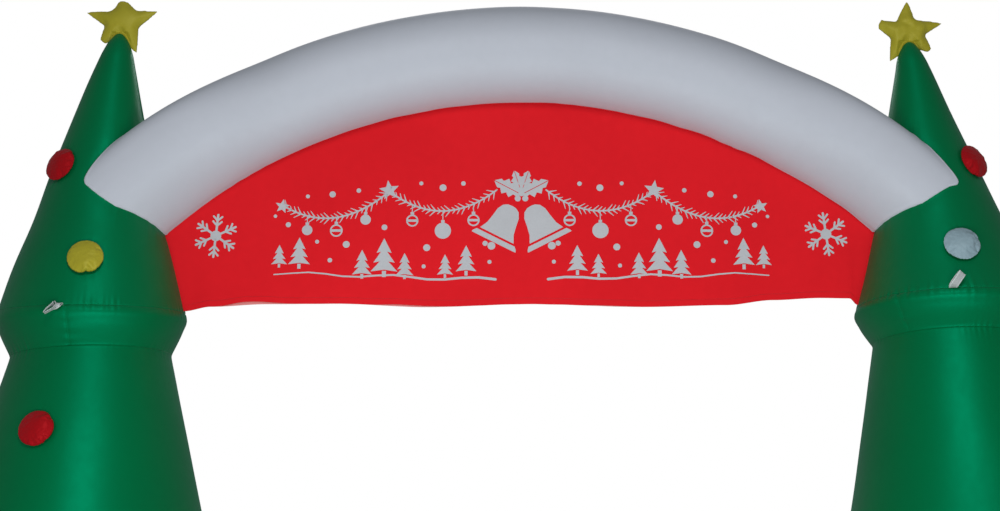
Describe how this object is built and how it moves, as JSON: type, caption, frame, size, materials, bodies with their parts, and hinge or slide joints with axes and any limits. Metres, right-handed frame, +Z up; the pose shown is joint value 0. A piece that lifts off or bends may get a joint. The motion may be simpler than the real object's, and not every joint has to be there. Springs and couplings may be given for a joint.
{
  "type": "inflatable christmas arch",
  "caption": "Free-standing inflatable walk-through arch: tiered fir towers with stars and baubles, a white arched air tube and a hanging red banner between them.",
  "frame": {"origin": "on the ground, at the middle of the arch's width and depth", "axes": "+X across the arch to the right tower as seen from the front, +Y from the front to the back, +Z up"},
  "size_m": [4.2472, 1.2072, 3.0517],
  "materials": {
    "green": "satin coated polyester taffeta",
    "white": "satin coated polyester taffeta",
    "red": "satin coated polyester taffeta",
    "yellow": "satin coated polyester taffeta",
    "bauble_red": "satin coated polyester taffeta",
    "bauble_white": "satin coated polyester taffeta",
    "ribbon": "matt woven ribbon"
  },
  "bodies": {
    "root": {"arch_tube": "white", "banner": "red", "left_star": "yellow", "right_star": "yellow", "bauble_left_red_high": "bauble_red", "bauble_left_yellow": "yellow", "bauble_left_red_low": "bauble_red", "bauble_right_red": "bauble_red", "bauble_right_white": "bauble_white", "guy_loop_left": "ribbon", "guy_loop_right": "ribbon", "left_top_cone": "green", "left_top_tuck": "green", "left_middle_cone": "green", "left_middle_tuck": "green", "left_bottom_cone": "green", "left_foot": "green", "right_top_cone": "green", "right_top_tuck": "green", "right_middle_cone": "green", "right_middle_tuck": "green", "right_bottom_cone": "green", "right_foot": "green"}
  },
  "joints": []
}
